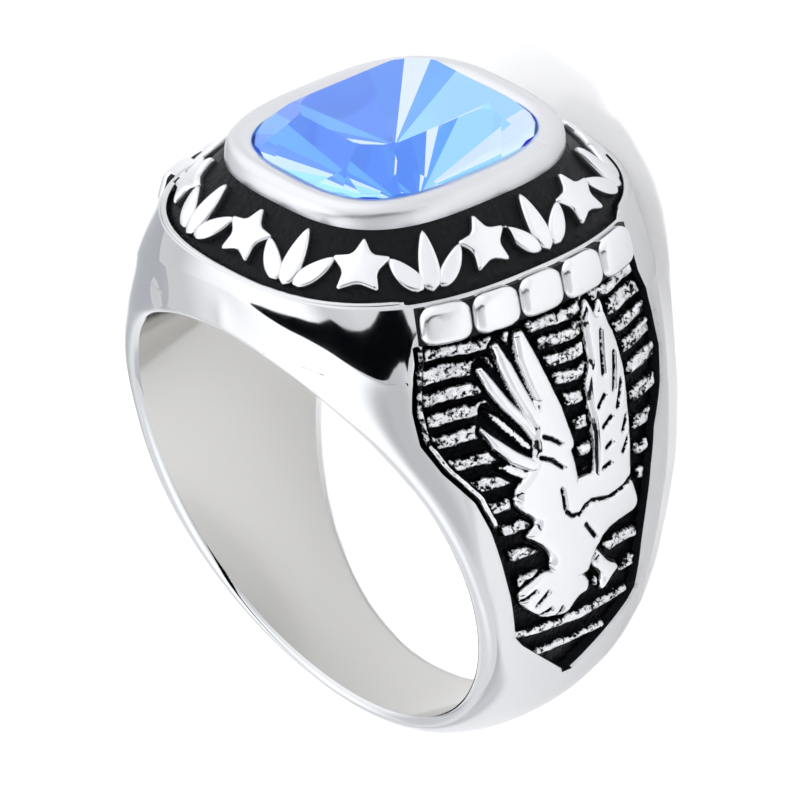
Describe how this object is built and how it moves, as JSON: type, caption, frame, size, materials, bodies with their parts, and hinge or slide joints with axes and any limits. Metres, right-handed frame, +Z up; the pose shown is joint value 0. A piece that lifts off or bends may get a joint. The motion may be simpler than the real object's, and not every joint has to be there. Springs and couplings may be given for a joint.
{
  "type": "statement ring",
  "caption": "Cast signet ring with a faceted blue cushion stone in a rounded bezel, raised stars and leaf sprays on a sloping collar, and an eagle over cross ribs on each shoulder.",
  "frame": {"origin": "middle of the footprint's box, on the surface that the ring lies on", "axes": "+Z up; the ring lies on its side, leaned so that the head's side and the band both touch the surface, with the stone towards -Y and the band's bottom towards +Y; the shoulders are at +X and -X"},
  "size_m": [0.0228, 0.0282, 0.0189],
  "materials": {
    "steel": "polished stainless steel with blackened recesses, satin inside the finger hole",
    "stone": "clear blue cut crystal"
  },
  "bodies": {
    "root": {"ring_body": "steel", "stone": "stone"}
  },
  "joints": []
}
